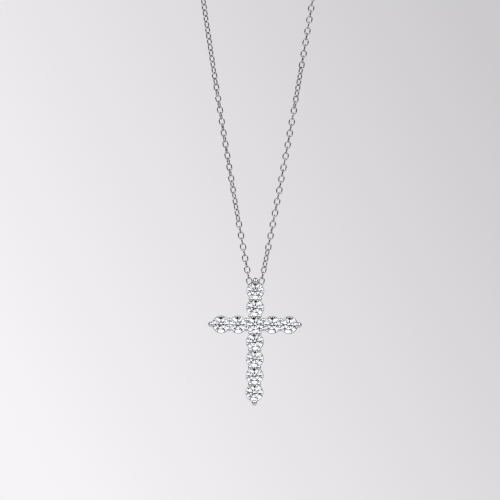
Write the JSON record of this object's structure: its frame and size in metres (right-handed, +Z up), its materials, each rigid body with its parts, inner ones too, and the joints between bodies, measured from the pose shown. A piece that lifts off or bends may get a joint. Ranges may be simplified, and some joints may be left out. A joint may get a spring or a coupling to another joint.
{
  "type": "cross pendant on a fine chain",
  "caption": "Cross of round clear stones in shared claws, hung by eyelets on the shoulders of its top stone from a loop of fine cable chain.",
  "frame": {"origin": "where the loop hangs: the middle of the ring clasp at the top of the loop", "axes": "+X to the right, -Y towards the viewer, +Z up along the cross's upright"},
  "size_m": [0.054, 0.0054, 0.234],
  "materials": {
    "polished_silver": "polished",
    "chain_silver": "polished",
    "clear_stone": "polished"
  },
  "bodies": {
    "chain": {"chain_left": "chain_silver", "chain_right": "chain_silver", "end_link_left": "chain_silver", "end_link_right": "chain_silver", "clasp": "chain_silver"},
    "pendant": {"setting": "polished_silver", "stone_crossing": "clear_stone", "stone_above_1": "clear_stone", "stone_above_2": "clear_stone", "stone_below_1": "clear_stone", "stone_below_2": "clear_stone", "stone_below_3": "clear_stone", "stone_below_4": "clear_stone", "stone_left_1": "clear_stone", "stone_left_2": "clear_stone", "stone_right_1": "clear_stone", "stone_right_2": "clear_stone"}
  },
  "joints": [
    {"name": "pendant_swing", "type": "hinge", "parent": "chain", "child": "pendant", "pos_m": [0, 0, -0.21144], "axis": [1, 0, 0], "range_deg": [-30, 40]}
  ]
}
